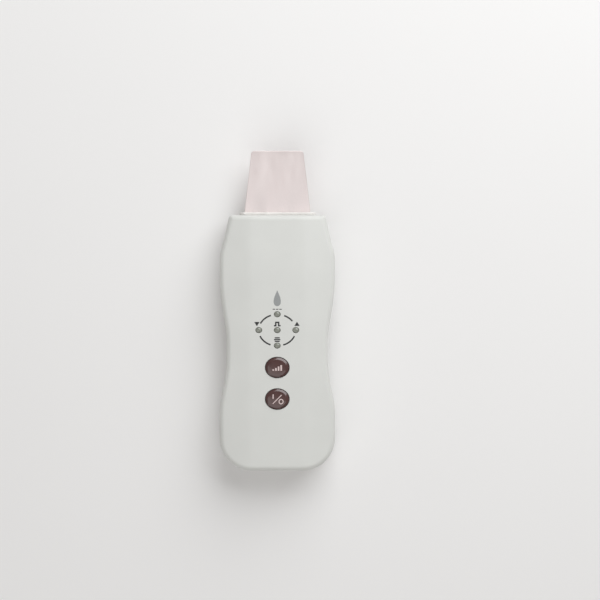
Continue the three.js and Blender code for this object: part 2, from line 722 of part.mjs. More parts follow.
function casing() {
  const group = new THREE.Group();
  add(group, "front_cover", frontCover(), COLOURS.casing);
  add(group, "rear_cover", rearCover(), COLOURS.casing);
  add(group, "blade_seal", bladeSeal(), COLOURS.seal);
  add(group, "hand_electrode", handElectrode(), COLOURS.chrome);
  for (const [level, [x, y]] of Object.entries(CASE_SCREWS)) {
    for (const [side, sign] of Object.entries(SIDES)) {
      const seat = COUNTERBORE - GAP - CASE_SCREW.headTall;
      add(group, `case_screw_${level}_${side}`, screw(CASE_SCREW), COLOURS.screw, [sign * x, y, seat]);
    }
  }
  return group;
}

function controls() {
  const group = new THREE.Group();
  for (const [name, y] of Object.entries({ level: LEVEL_Y, power: POWER_Y })) {
    add(group, `${name}_button`, button(y), COLOURS.button, [0, y, 0]);
    add(group, `${name}_switch`, tactSwitch(), COLOURS.black, [0, y, 0]);
    const plunger = post(PLUNGER.r, [0, 0], PLUNGER.bottom, PLUNGER.top);
    add(group, `${name}_switch_plunger`, plunger, COLOURS.seal, [0, y, 0]);
  }
  for (const [name, place] of Object.entries(ledPlaces)) {
    add(group, `indicator_led_${name}`, indicatorLed(place), COLOURS.led, [...place, 0]);
  }
  add(group, "led_holder", ledHolder(), COLOURS.black);
  return group;
}

function electronics() {
  const group = new THREE.Group();
  add(group, "main_board", mainBoard(), COLOURS.board);
  add(group, "transformer_core", transformerCore(), COLOURS.ferrite, [-8, -8, 0]);
  add(group, "transformer_coil", transformerCoil(), COLOURS.copper, [-8, -8, 0]);
  add(group, "tuning_coil", tuningCoil(), COLOURS.ferrite, [7.5, -8, 0]);
  add(group, "storage_capacitor", storageCapacitor(), COLOURS.black, [16.5, -8, 0]);
  add(group, "driver_transistor", driverTransistor(), COLOURS.black, [12, -37, 0]);
  add(group, "controller_chip", controllerChip(), COLOURS.black, [-12, -38, 0]);
  add(group, "lead_connector", leadConnector(), COLOURS.seal, [11, -56, 0]);
  const boardScrew = screw({ head: 1.9, headTall: 1.2, shank: 1, length: 7 });
  for (const [side, sign] of Object.entries(SIDES)) {
    const boardScrewPlace = [sign * BOARD_SCREW[0], BOARD_SCREW[1], 12.7];
    add(group, `board_screw_${side}`, boardScrew, COLOURS.screw, boardScrewPlace);
    add(group, `charging_pin_${side}`, chargingPin(), COLOURS.nickel, [sign * PIN.x, 0, PIN.z]);
  }
  add(group, "contact_board", contactBoard(), COLOURS.board);
  return group;
}

function battery() {
  const group = new THREE.Group();
  const middle = CELL.front - CELL.length / 2;
  const rear = CELL.front - CELL.length;
  for (const [name, place, turn] of [["left", -1, 0], ["middle", 0, Math.PI], ["right", 1, 0]]) {
    const at = [place * CELL_PITCH, middle, CELL_Z];
    add(group, `battery_cell_${name}`, batteryCell(), COLOURS.cell, at, turn);
  }
  const linkGap = GAP + 0.15;
  add(group, "battery_link_rear", batteryLink(), COLOURS.nickel, [-CELL_PITCH / 2, rear - linkGap, CELL_Z]);
  const frontLinkPlace = [CELL_PITCH / 2, CELL.front + linkGap, CELL_Z];
  add(group, "battery_link_front", batteryLink(), COLOURS.nickel, frontLinkPlace);
  add(group, "battery_pad", block([-15.5, -52, 13.1], [15.5, -24, 13.9]), COLOURS.foam);
  return group;
}

function transducer() {
  const group = new THREE.Group();
  add(group, "scraper_blade", scraperBlade(), COLOURS.steel);
  const stack = new THREE.Group();
  stack.position.z = PARTING;
  add(stack, "front_horn", frontHorn(), COLOURS.aluminium);
  add(stack, "piezo_ring_front", collar(BOLT_R + 0.5, STACK_R, 21.7, 25.7), COLOURS.ceramic);
  add(stack, "piezo_electrode", piezoElectrode(), COLOURS.copper);
  add(stack, "piezo_ring_rear", collar(BOLT_R + 0.5, STACK_R, 16.7, 20.7), COLOURS.ceramic);
  add(stack, "back_mass", backMass(), COLOURS.screw);
  add(stack, "transducer_bolt", transducerBolt(), COLOURS.screw);
  add(stack, "isolation_ring_front", collar(STACK_R + GAP, RING_R, 26.4, 29.9), COLOURS.rubber);
  add(stack, "isolation_ring_rear", collar(STACK_R + GAP, RING_R, 8, 12), COLOURS.rubber);
  add(stack, "transducer_clamp", transducerClamp(), COLOURS.black);
  group.add(stack);
  const clampScrew = screw({ head: 1.9, headTall: 1.2, shank: 0.8, length: 7 });
  for (const [side, sign] of Object.entries(SIDES)) {
    const place = [sign * CLAMP_SCREW[0], CLAMP_SCREW[1], PARTING + 1.8 + GAP + 1.2];
    add(group, `clamp_screw_${side}`, clampScrew, COLOURS.screw, place, Math.PI);
  }
  return group;
}

// Internal wires, each from one solder point or terminal to another.
function wiring() {
  const group = new THREE.Group();
  const { red, blackLead: black, blueLead: blue } = COLOURS;
  const routes = {
    battery_lead_red: [red, [-10.8, -19, 7.5], [-14.5, -17.6, 9], [-18, -18.6, 11.5], [-18.5, -20, 13.2]],
    battery_lead_black: [black, [10.8, -65.4, 7.5], [15, -66, 9.5], [18.6, -63.6, 12], [19.2, -58.6, 13.3]],
    charging_lead_red: [red, [7, -76, 9.6], [7.2, -71, 11.8], [6.8, -65, 13.2], [7, -57, 13.3]],
    charging_lead_black: [black, [-7, -76, 9.6], [-7.2, -71, 11.8], [-6.8, -65, 13.2], [-7, -57, 13.3]],
    transducer_lead_red: [red, [-8.4, 20.4, 17.4], [-14, 15, 17.8], [-18, 7, 17.4], [-17, 1.5, 16.9]],
    transducer_lead_black: [black, [5, 4.6, 12], [8, 3.2, 12.3], [11, 1.4, 13], [13.6, -1, 13.2]],
    electrode_lead: [blue, [0, -0.9, 5.9], [0.6, 0.6, 8.5], [1.6, 1, 11.4], [2.4, 0, 13.2]],
  };
  for (const [name, [material, ...points]] of Object.entries(routes)) {
    add(group, name, lead(points), material);
  }
  return group;
}

scrubber.add(casing(), controls(), electronics(), battery(), transducer(), wiring());

export default scrubber;
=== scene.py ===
"""Looks of a handheld ultrasonic skin scrubber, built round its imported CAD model.

The object lies on its back: X across, Y from the charging end to the blade tip, Z up out of the front face.
Shapes are worked out in millimetres and stored in metres.
"""
import json
import math

import bmesh
import bpy
from mathutils import Matrix, Vector


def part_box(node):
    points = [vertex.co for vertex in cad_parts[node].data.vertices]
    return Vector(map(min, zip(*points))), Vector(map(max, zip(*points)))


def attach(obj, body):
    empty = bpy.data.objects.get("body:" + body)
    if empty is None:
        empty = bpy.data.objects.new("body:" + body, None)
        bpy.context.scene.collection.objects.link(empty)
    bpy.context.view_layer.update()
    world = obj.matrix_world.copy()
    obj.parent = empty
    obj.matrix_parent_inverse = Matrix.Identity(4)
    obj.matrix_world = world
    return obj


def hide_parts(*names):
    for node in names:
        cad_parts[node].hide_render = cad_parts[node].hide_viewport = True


MM = 0.001
SOLVER = "MANIFOLD"

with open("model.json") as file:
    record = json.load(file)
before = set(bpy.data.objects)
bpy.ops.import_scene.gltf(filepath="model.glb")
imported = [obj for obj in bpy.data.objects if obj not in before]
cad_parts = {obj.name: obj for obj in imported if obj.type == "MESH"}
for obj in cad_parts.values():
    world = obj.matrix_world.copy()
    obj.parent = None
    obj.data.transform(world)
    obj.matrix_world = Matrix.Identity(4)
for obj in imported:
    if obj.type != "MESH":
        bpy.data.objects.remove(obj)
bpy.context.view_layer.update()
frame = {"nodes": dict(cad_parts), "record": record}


def node_box(name):
    """A CAD node's lowest and highest corners in millimetres."""
    low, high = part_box(name)
    return low / MM, high / MM


def middle(name):
    """The middle of a CAD node's box in millimetres."""
    low, high = node_box(name)
    return (low + high) / 2


# ---------- Camera ----------

CAMERA_HEIGHT = 1.0
LENS = 114
AIM = (0.0117, 0.0054)

camera = bpy.data.objects.new("camera", bpy.data.cameras.new("camera"))
camera.data.lens = LENS
camera.data.sensor_width = 36
camera.data.clip_start = 0.05
camera.data.clip_end = 20
camera.location = (*AIM, CAMERA_HEIGHT)
bpy.context.scene.collection.objects.link(camera)
bpy.context.scene.camera = camera
bpy.context.scene.view_settings.view_transform = "Standard"

# ---------- Casing dimensions, the same as the CAD's ----------

Y_END = node_box("front_cover")[0].y
Y_NOSE = node_box("front_cover")[1].y
Y_TIP = node_box("scraper_blade")[1].y

END_RADIUS = 16.5
HIP = {"half": 29.8, "to": -52}
WAIST = {"half": 26.1, "from": -24, "to": -16}
SHOULDER = {"half": 29.7, "from": 18, "to": 27}
TAPER = {"half": 27.4, "at": 37.5, "slope": 0.21}
NOSE_HALF = 24.9
NOSE_CORNER = 1.8

CROWN = 24
CROWN_Y = -20
END_DROP = 1.2
NOSE_DROP = 2.8
REAR_RISE = 3
REAR_FLAT_TO = 5
FLANK_FROM = 14
FLANK_SLOPE = 0.185
FLANK_BLEND = 2
FRONT_EDGE = 2.5
REAR_EDGE = 6
WALL = 2
GAP = 0.3
PARTING = 12
SEAM = 0.15
SEAM_ROUND = 0.25

# ---------- Mesh helpers ----------


def add_piece(name, mesh, body, material, replaced=(), sharp=35):
    """Puts a mesh in the scene as a piece of the object."""
    mesh.polygons.foreach_set("use_smooth", [True] * len(mesh.polygons))
    mesh.set_sharp_from_angle(angle=math.radians(sharp))
    mesh = evaluated(mesh, ("WEIGHTED_NORMAL", {"keep_sharp": True, "weight": 60}))
    mesh.name = name
    mesh.materials.clear()
    mesh.materials.append(material)
    piece = bpy.data.objects.new(name, mesh)
    bpy.context.scene.collection.objects.link(piece)
    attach(piece, body)
    if replaced:
        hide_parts(*replaced)


def make_mesh(name, points, faces):
    """A mesh in metres from points in millimetres."""
    mesh = bpy.data.meshes.new(name)
    mesh.from_pydata([tuple(c * MM for c in p) for p in points], [], faces)
    shape = bmesh.new()
    shape.from_mesh(mesh)
    bmesh.ops.recalc_face_normals(shape, faces=shape.faces)
    shape.to_mesh(mesh)
    shape.free()
    return mesh


def join(name, meshes):
    """Several meshes as one."""
    points, faces = [], []
    for mesh in meshes:
        start = len(points)
        points += [tuple(v.co / MM) for v in mesh.vertices]
        faces += [[start + i for i in p.vertices] for p in mesh.polygons]
    return make_mesh(name, points, faces)


def evaluated(mesh, *settings):
    """A copy of a mesh with modifiers applied, each given as a type and its values."""
    worker = bpy.data.objects.new("worker", mesh)
    bpy.context.scene.collection.objects.link(worker)
    for kind, values in settings:
        modifier = worker.modifiers.new(kind, kind)
        for key, value in values.items():
            setattr(modifier, key, value)
    bpy.context.view_layer.update()
    depsgraph = bpy.context.evaluated_depsgraph_get()
    made = bpy.data.meshes.new_from_object(worker.evaluated_get(depsgraph))
    bpy.data.objects.remove(worker)
    return made


def combined(mesh, others, operation):
    """A mesh joined with, cut by or kept inside each of the others."""
    for other in others:
        tool = bpy.data.objects.new("tool", other)
        bpy.context.scene.collection.objects.link(tool)
        mesh = evaluated(mesh, ("BOOLEAN", {"operation": operation, "solver": SOLVER, "object": tool}))
        bpy.data.objects.remove(tool)
    return mesh


def cut(mesh, cutters):
    return combined(mesh, cutters, "DIFFERENCE")


def rim(grid):
    """The edge of a grid of points, anticlockwise from above."""
    inner = grid[1:-1]
    return [*grid[0], *[row[-1] for row in inner], *grid[-1][::-1], *[row[0] for row in inner][::-1]]


def skin(name, upper, loops, lower):
    """A closed mesh between two grids of points, whose sides pass through the loops given."""
    points, faces = [], []

    def store(row):
        start = len(points)
        points.extend(row)
        return list(range(start, len(points)))

    top = [store(row) for row in upper]
    bottom = [store(row) for row in lower]
    for grid in (top, bottom):
        for low, high in zip(grid, grid[1:]):
            faces += [(low[j], low[j + 1], high[j + 1], high[j]) for j in range(len(low) - 1)]
    belts = [rim(top), *[store(loop) for loop in loops], rim(bottom)]
    for above, below in zip(belts, belts[1:]):
        n = len(above)
        faces += [(below[i], below[(i + 1) % n], above[(i + 1) % n], above[i]) for i in range(n)]
    return make_mesh(name, points, faces)


def turned(name, profile, at=(0, 0), squash=1.0, sides=64, lift=None, along="Z"):
    """A turned mesh from (radius, height) pairs. lift(x, y) adds a surface's height to every point."""
    points, rings = [], []
    for r, z in profile:
        if r == 0:
            rings.append([len(points)])
            points.append((0, 0, z))
            continue
        rings.append([len(points) + i for i in range(sides)])
        for i in range(sides):
            turn = 2 * math.pi * i / sides
            points.append((r * math.cos(turn), r * squash * math.sin(turn), z))
    faces = []
    for low, high in zip(rings, rings[1:]):
        for i in range(sides):
            a, b = (low[k % len(low)] for k in (i, i + 1))
            c, d = (high[k % len(high)] for k in (i + 1, i))
            faces.append(tuple(dict.fromkeys((a, b, c, d))))
    if along == "Y":
        points = [(x, -z, y) for x, y, z in points]
    shifted = [(x + at[0], y + at[1], z) for x, y, z in points]
    if lift:
        shifted = [(x, y, z + lift(x, y)) for x, y, z in shifted]
    return make_mesh(name, shifted, faces)


def translation(x, y, z):
    """A shift in millimetres, for a mesh in metres."""
    return Matrix.Translation(Vector((x, y, z)) * MM)


def bezier(*controls):
    """A cubic curve as a function from the share of it passed to a point."""
    corners = [Vector(p) for p in controls]

    def at(t):
        weights = ((1 - t) ** 3, 3 * t * (1 - t) ** 2, 3 * t**2 * (1 - t), t**3)
        return sum((w * c for w, c in zip(weights, corners)), Vector((0, 0)))

    return at


# ---------- Casing surface ----------


def half_outline(inset):
    """Right-hand half of the plan outline, drawn in by inset, from the charging end to the nose."""
    hip, waist, shoulder, taper = (part["half"] - inset for part in (HIP, WAIST, SHOULDER, TAPER))
    corner_y = Y_END + END_RADIUS
    radius = END_RADIUS - inset
    nose = Vector((NOSE_HALF - inset, Y_NOSE - inset))
    corner = NOSE_CORNER * max(1 - inset / 2.5, 0.3)
    nose_start = nose + Vector((TAPER["slope"] * corner, -corner))
    nose_end = nose - Vector((corner, 0))

    def end_corner(t):
        turn = (t - 1) * math.pi / 2
        x = HIP["half"] - END_RADIUS + radius * math.cos(turn)
        return Vector((x, corner_y + radius * math.sin(turn)))

    def line(a, b):
        return lambda t: Vector(a).lerp(Vector(b), t)

    def nose_corner(t):
        return nose_start * (1 - t) ** 2 + nose * 2 * t * (1 - t) + nose_end * t**2

    stretches = [
        (end_corner, 14),
        (line((hip, corner_y), (hip, HIP["to"])), 6),
        (bezier((hip, HIP["to"]), (hip, -45.5), (waist, -37), (waist, WAIST["from"])), 14),
        (line((waist, WAIST["from"]), (waist, WAIST["to"])), 3),
        (bezier((waist, WAIST["to"]), (waist, -7), (shoulder, 3), (shoulder, SHOULDER["from"])), 14),
        (line((shoulder, SHOULDER["from"]), (shoulder, SHOULDER["to"])), 4),
        (
            bezier(
                (shoulder, SHOULDER["to"]),
                (shoulder, SHOULDER["to"] + 3.5),
                (taper + 4.5 * TAPER["slope"], TAPER["at"] - 4.5),
                (taper, TAPER["at"]),
            ),
            8,
        ),
        (line((taper, TAPER["at"]), nose_start), 5),
        (nose_corner, 6),
    ]
    points = [curve(i / steps) for curve, steps in stretches for i in range(steps)]
    return [*points, nose_end]


COLUMNS = [i / 20 - 1 for i in range(41)]


def plan_grid(inset, height):
    """The plan as rows of points across the handle."""
    rows = []
    for x, y in half_outline(inset):
        rows.append([(c * x, y, height(c * x, y)) for c in COLUMNS])
    return rows


def front_height(x, y):
    """Height of the front face: crowned along its length, with a falling flank each side."""
    reach = CROWN_Y - Y_END if y < CROWN_Y else Y_NOSE - CROWN_Y
    drop = END_DROP if y < CROWN_Y else NOSE_DROP
    past = abs(x) - FLANK_FROM
    flank = FLANK_SLOPE * (past + math.hypot(past, FLANK_BLEND)) / 2
    return CROWN - drop * ((y - CROWN_Y) / reach) ** 2 - flank


def rear_height(x, y):
    """Height of the back: flat where it rests, rising towards the nose, the same all the way across."""
    return REAR_RISE * (max(y - REAR_FLAT_TO, 0) / (Y_NOSE - REAR_FLAT_TO)) ** 2


def edge_loops(inset, radius, face, sign, steps):
    """Loops round a rounded edge, from the face to the wall.

    sign is the way into the casing: -1 from the front face and 1 from the back.
    """
    loops = []
    for i in range(1, steps + 1):
        turn = i / steps * math.pi / 2
        drawn_in = inset + radius * (1 - math.sin(turn))
        fall = radius * (1 - math.cos(turn))
        loops.append(rim(plan_grid(drawn_in, lambda x, y: face(x, y) + sign * (inset + fall))))
    return loops


def level_loop(inset, z):
    return rim(plan_grid(inset, lambda x, y: z))


def half_shell(name, face, sign, edge, seam):
    """One cover as a closed shell, from its outer face to the seam and back inside."""
    outer_face = plan_grid(edge, face)
    inner_edge = max(edge - WALL, 0.5)
    inner_face = plan_grid(WALL + inner_edge, lambda x, y: face(x, y) + sign * WALL)
    lip = seam - sign * SEAM_ROUND
    loops = [
        *edge_loops(0, edge, face, sign, 8),
        level_loop(0, lip),
        level_loop(0.3 * SEAM_ROUND, lip + sign * 0.7 * SEAM_ROUND),
        level_loop(SEAM_ROUND, seam),
        level_loop(WALL, seam),
        *edge_loops(WALL, inner_edge, face, sign, 3)[::-1],
    ]
    return skin(name, outer_face, loops, inner_face)


def hole_cutter(a, b, at, lift, sign=1, depth=6.0, rounding=0.25):
    """Cutter for an oval hole with a rounded lip, through a surface whose height is lift(x, y)."""
    profile = [(0, -sign * depth), (a, -sign * depth), (a, -sign * rounding)]
    for i in range(1, 6):
        turn = i / 5 * math.pi / 2
        profile.append((a + rounding * (1 - math.cos(turn)), -sign * rounding * (1 - math.sin(turn))))
    profile += [(a + rounding, sign * 3), (0, sign * 3)]
    return turned("hole", profile, at, b / a, 72, lift)


def stadium(half_long, half_wide, steps=12):
    """Outline of a slab with round ends, long side along X, anticlockwise."""
    points = []
    for side, start in ((1, -90), (-1, 90)):
        for i in range(steps + 1):
            turn = math.radians(start + 180 * i / steps)
            centre = side * (half_long - half_wide)
            points.append((centre + half_wide * math.cos(turn), half_wide * math.sin(turn)))
    return points


def dash(x, y, half_x, half_y):
    """Outline of a rectangle about a point."""
    return [(x + i * half_x, y + j * half_y) for i, j in ((-1, -1), (1, -1), (1, 1), (-1, 1))]


def stacked(name, layers):
    """A closed mesh through loops of points, capped at both ends."""
    n = len(layers[0])
    points = [p for layer in layers for p in layer]
    faces = [list(range(n)), [len(points) - n + i for i in range(n)]]
    for k in range(len(layers) - 1):
        for i in range(n):
            j = (i + 1) % n
            faces.append((k * n + i, k * n + j, (k + 1) * n + j, (k + 1) * n + i))
    return make_mesh(name, points, faces)


def nose_slab(name, half_long, half_high, y0, y1, rounding=0.0):
    """A slab with round ends across the nose, from y0 to y1, with its far edge rounded."""
    steps = [(0, y0), (0, y1 - rounding)]
    if rounding:
        for i in range(1, 5):
            turn = i / 4 * math.pi / 2
            steps.append((rounding * (1 - math.cos(turn)), y1 - rounding * (1 - math.sin(turn))))
    layers = []
    for inset, y in steps:
        layers.append([(x, y, PARTING + z) for x, z in stadium(half_long - inset, half_high - inset)])
    return stacked(name, layers)


# ---------- Materials ----------


class Surface:
    """A Principled material with helpers that add nodes to it. Its patterns are laid out in metres."""

    def __init__(self, name, roughness, metallic=0.0, **constants):
        self.material = bpy.data.materials.new(name)
        self.material.use_nodes = True
        self.tree = self.material.node_tree
        self.shader = self.tree.nodes["Principled BSDF"]
        self.shader.inputs["Metallic"].default_value = metallic
        self.shader.inputs["Roughness"].default_value = roughness
        for key, value in constants.items():
            self.shader.inputs[key.replace("_", " ")].default_value = value
        self.place = self.tree.nodes.new("ShaderNodeTexCoord").outputs["Object"]
        self.bumps = None

    def node(self, kind, inputs, **settings):
        made = self.tree.nodes.new("ShaderNode" + kind)
        for key, value in settings.items():
            setattr(made, key, value)
        for key, value in inputs.items():
            self.feed(made.inputs[key], value)
        return made

    def feed(self, socket, value):
        if isinstance(value, bpy.types.NodeSocket):
            self.tree.links.new(value, socket)
        else:
            socket.default_value = value

    def stretched(self, scale):
        return self.node("Mapping", {"Vector": self.place, "Scale": scale}).outputs["Vector"]

    def noise(self, size, detail=3.0, rough=0.5, stretch=None):
        """Noise whose features are about size metres across."""
        vector = self.stretched(stretch) if stretch else self.place
        inputs = {"Vector": vector, "Scale": 1 / size, "Detail": detail, "Roughness": rough}
        return self.node("TexNoise", inputs).outputs["Fac"]

    def cells(self, size, randomness=1.0):
        inputs = {"Vector": self.place, "Scale": 1 / size, "Randomness": randomness}
        return self.node("TexVoronoi", inputs).outputs["Distance"]

    def bricks(self, length, height, joint):
        """One in the joints of a brick pattern."""
        inputs = {"Vector": self.place, "Scale": 1.0, "Brick Width": length, "Row Height": height}
        inputs["Mortar Size"] = joint
        return self.node("TexBrick", inputs, offset=0.37).outputs["Fac"]

    def bands(self, size, direction="Y", distortion=0.0):
        inputs = {"Vector": self.place, "Scale": 1 / size / math.tau * math.pi, "Distortion": distortion}
        return self.node("TexWave", inputs, bands_direction=direction).outputs["Fac"]

    def ramp(self, value, low, high, start=0.0, end=1.0):
        """A value between low and high as another goes from start to end."""
        inputs = {"Value": value, "From Min": start, "From Max": end, "To Min": low, "To Max": high}
        return self.node("MapRange", inputs).outputs["Result"]

    def blend(self, share, a, b):
        made = self.node("Mix", {}, data_type="RGBA")
        self.feed(made.inputs[0], share)
        self.feed(made.inputs[6], colour(a))
        self.feed(made.inputs[7], colour(b))
        return made.outputs[2]

    def edges(self, start=0.53, end=0.6):
        """One on worn outer edges, zero on flats."""
        pointiness = self.node("NewGeometry", {}).outputs["Pointiness"]
        return self.ramp(pointiness, 0.0, 1.0, start, end)

    def times(self, a, b):
        return self.node("Math", {0: a, 1: b}, operation="MULTIPLY").outputs[0]

    def tint(self, value):
        self.feed(self.shader.inputs["Base Color"], colour(value))

    def gloss(self, value):
        self.feed(self.shader.inputs["Roughness"], value)

    def bump(self, height, depth, strength=1.0):
        """Adds relief of the given depth in metres."""
        inputs = {"Height": height, "Distance": depth, "Strength": strength}
        if self.bumps:
            inputs["Normal"] = self.bumps
        self.bumps = self.node("Bump", inputs).outputs["Normal"]
        self.feed(self.shader.inputs["Normal"], self.bumps)


def colour(value):
    """An sRGB triple as linear RGBA; anything else as it is."""
    if not isinstance(value, tuple) or len(value) != 3:
        return value
    linear = [c / 12.92 if c <= 0.04045 else ((c + 0.055) / 1.055) ** 2.4 for c in value]
    return (*linear, 1.0)


def shade(value, factor):
    return tuple(min(c * factor, 1.0) for c in value)


def moulded(name, base, rough=0.42, wear=1.03):
    """Moulded plastic: spark-eroded grain, slow unevenness, faint mottling, polished edges."""
    s = Surface(name, rough)
    mottled = s.blend(s.noise(0.02, 4), shade(base, 0.975), shade(base, 1.015))
    specks = s.ramp(s.noise(0.0011, 2, 0.7), 0.0, 1.0, 0.66, 0.78)
    dusty = s.blend(s.times(specks, 0.12), mottled, shade(base, 0.8))
    s.tint(s.blend(s.times(s.edges(), 0.5), dusty, shade(base, wear)))
    s.gloss(s.ramp(s.noise(0.006, 5), rough - 0.05, rough + 0.07, 0.3, 0.7))
    s.bump(s.noise(0.00022, 3, 0.6), 0.000006)
    s.bump(s.noise(0.012, 2), 0.00003, 0.35)
    return s.material


def glossy(name, base, rough=0.16):
    """Polished coloured plastic with fine scuffs and rubbed edges."""
    s = Surface(name, rough, Coat_Weight=0.8, Coat_Roughness=0.09)
    cloudy = s.blend(s.noise(0.003, 4), shade(base, 0.86), shade(base, 1.12))
    s.tint(s.blend(s.times(s.edges(0.52, 0.62), 0.4), cloudy, shade(base, 1.35)))
    scuffs = s.noise(0.0012, 6, 0.7, (1, 5, 1))
    s.gloss(s.ramp(scuffs, rough - 0.05, rough + 0.16, 0.35, 0.75))
    s.bump(s.noise(0.0006, 4), 0.000004)
    return s.material


def brushed(name, base, rough=0.3, along=(1, 0.04, 1), line=0.00012, depth=0.0000025):
    """Brushed metal: fine lines along one direction, cloudy gloss and a few rubbed spots."""
    s = Surface(name, rough, 1.0)
    lines = s.noise(line, 4, 0.65, along)
    cloud = s.noise(0.009, 4)
    streaked = s.blend(lines, shade(base, 0.95), shade(base, 1.03))
    s.tint(s.blend(s.times(cloud, 0.25), streaked, shade(base, 0.94)))
    s.gloss(s.ramp(s.noise(0.004, 5, 0.6, along), rough - 0.07, rough + 0.09, 0.3, 0.7))
    s.bump(lines, depth)
    return s.material


def rubbery(name, base):
    """Soft rubber: fine matt grain with slightly dusty patches."""
    rough = 0.62
    s = Surface(name, rough)
    s.tint(s.blend(s.ramp(s.noise(0.004, 5), 0, 1, 0.35, 0.7), shade(base, 0.96), shade(base, 1.02)))
    s.gloss(s.ramp(s.noise(0.0015, 4), rough - 0.06, rough + 0.1, 0.3, 0.7))
    s.bump(s.noise(0.00018, 3, 0.6), 0.000006)
    return s.material


def printed(name, base, rough=0.5):
    """Pad-printed ink: slightly uneven cover with a fine tooth."""
    s = Surface(name, rough)
    s.tint(s.blend(s.ramp(s.noise(0.0005, 4, 0.7), 0, 1, 0.3, 0.75), shade(base, 0.96), shade(base, 1.03)))
    s.gloss(s.ramp(s.noise(0.001, 3), rough - 0.08, rough + 0.1, 0.3, 0.7))
    s.bump(s.noise(0.0002, 3), 0.000004)
    return s.material


def lens(name, base):
    """Cloudy lamp resin: clear skin over a milky, slightly uneven body."""
    s = Surface(name, 0.1, Transmission_Weight=0.25, IOR=1.5, Coat_Weight=0.6, Coat_Roughness=0.05)
    s.tint(s.blend(s.noise(0.0009, 4), shade(base, 0.86), shade(base, 1.16)))
    s.gloss(s.ramp(s.noise(0.0008, 4), 0.06, 0.2, 0.3, 0.7))
    s.bump(s.noise(0.0012, 2), 0.00001)
    return s.material


def laminate(name, base):
    """Circuit board: lacquer over copper tracks, with tinned pads and a faint glass weave."""
    s = Surface(name, 0.32, Coat_Weight=0.3, Coat_Roughness=0.2)
    lines = s.bricks(0.019, 0.0016, 0.00017)
    tracks = s.times(lines, s.ramp(s.noise(0.012, 2), 0.15, 1.0, 0.45, 0.5))
    dots = s.ramp(s.cells(0.0024, 0.0), 1.0, 0.0, 0.17, 0.2)
    pads = s.times(dots, s.ramp(s.noise(0.009, 1), 0.0, 1.0, 0.5, 0.52))
    lacquer = s.blend(tracks, shade(base, 0.88), shade(base, 1.22))
    s.tint(s.blend(pads, lacquer, (0.74, 0.75, 0.74)))
    s.gloss(s.ramp(s.noise(0.002, 4), 0.24, 0.42, 0.3, 0.7))
    s.bump(s.times(tracks, 0.5), 0.00003)
    s.bump(pads, 0.00008)
    s.bump(s.noise(0.0003, 3), 0.000004)
    return s.material


def wound(name, base):
    """Enamelled copper winding."""
    wire_pitch = 0.00035
    s = Surface(name, 0.3, 0.9)
    turns = s.bands(wire_pitch, "Z", 0.3)
    s.tint(s.blend(turns, shade(base, 0.6), shade(base, 1.1)))
    s.gloss(s.ramp(s.noise(0.001, 4), 0.22, 0.4, 0.3, 0.7))
    s.bump(turns, 0.00008)
    return s.material


def fired(name, base):
    """Fired ceramic or ferrite: fine granular body with small pits."""
    rough = 0.55
    s = Surface(name, rough)
    pits = s.ramp(s.cells(0.0006), 0.0, 1.0, 0.08, 0.3)
    s.tint(s.blend(pits, shade(base, 0.8), s.blend(s.noise(0.002, 5), shade(base, 0.95), shade(base, 1.05))))
    s.gloss(s.ramp(s.noise(0.0012, 4), rough - 0.08, rough + 0.12, 0.3, 0.7))
    s.bump(s.noise(0.00025, 4, 0.7), 0.00001)
    return s.material


def sleeve(name, base):
    """Shrink-wrapped film over a steel can: taut ripples and a pale band at each end."""
    s = Surface(name, 0.28, Coat_Weight=0.4, Coat_Roughness=0.15)
    s.tint(s.blend(s.ramp(s.bands(0.016, "Y"), 0, 1, 0.8, 0.86), base, (0.82, 0.83, 0.8)))
    s.gloss(s.ramp(s.noise(0.003, 4), 0.2, 0.38, 0.3, 0.7))
    s.bump(s.noise(0.003, 4, 0.6, (1, 0.3, 1)), 0.00004)
    return s.material


def foamed(name, base):
    """Closed-cell foam."""
    s = Surface(name, 0.95)
    pores = s.cells(0.0007)
    s.tint(s.blend(pores, shade(base, 0.7), shade(base, 1.15)))
    s.gloss(s.ramp(s.noise(0.002, 3), 0.88, 1.0, 0.3, 0.7))
    s.bump(pores, 0.00015)
    return s.material


CASING = moulded("casing_plastic", (0.862, 0.864, 0.849))
BUTTON = glossy("button_plastic", (0.315, 0.205, 0.195), 0.17)
SEAL = rubbery("seal_rubber", (0.93, 0.92, 0.905))
BLADE = brushed("blade_steel", (0.955, 0.916, 0.912), rough=0.52, line=0.00009, depth=0.0000012)
CHROME = brushed("electrode_chrome", (0.88, 0.88, 0.885), rough=0.26, along=(1, 0.1, 1), line=0.0002)
SCREW = brushed("screw_steel", (0.70, 0.71, 0.72), rough=0.32, along=(1, 1, 0.2))
LED = lens("led_lens", (0.60, 0.61, 0.57))
BLACK = moulded("black_plastic", (0.13, 0.135, 0.14), 0.5, wear=1.8)
WHITE = moulded("white_plastic", (0.9, 0.9, 0.88), 0.45)
BOARD = laminate("board_laminate", (0.10, 0.36, 0.20))
COPPER = brushed("copper", (0.80, 0.50, 0.34), rough=0.3)
WINDING = wound("copper_winding", (0.78, 0.44, 0.26))
FERRITE = fired("ferrite", (0.22, 0.22, 0.23))
CELL = sleeve("cell_can", (0.16, 0.42, 0.28))
NICKEL = brushed("nickel", (0.78, 0.77, 0.73), rough=0.22)
CERAMIC = fired("piezo_ceramic", (0.85, 0.80, 0.72))
ALUMINIUM = brushed("horn_aluminium", (0.82, 0.83, 0.84), rough=0.28, along=(1, 6, 1))
DARK_RUBBER = rubbery("dark_rubber", (0.25, 0.26, 0.27))
FOAM = foamed("foam", (0.34, 0.35, 0.37))
WIRE_RED = glossy("wire_red", (0.68, 0.12, 0.10), 0.35)
WIRE_BLACK = glossy("wire_black", (0.12, 0.12, 0.13), 0.35)
WIRE_BLUE = glossy("wire_blue", (0.15, 0.32, 0.62), 0.35)
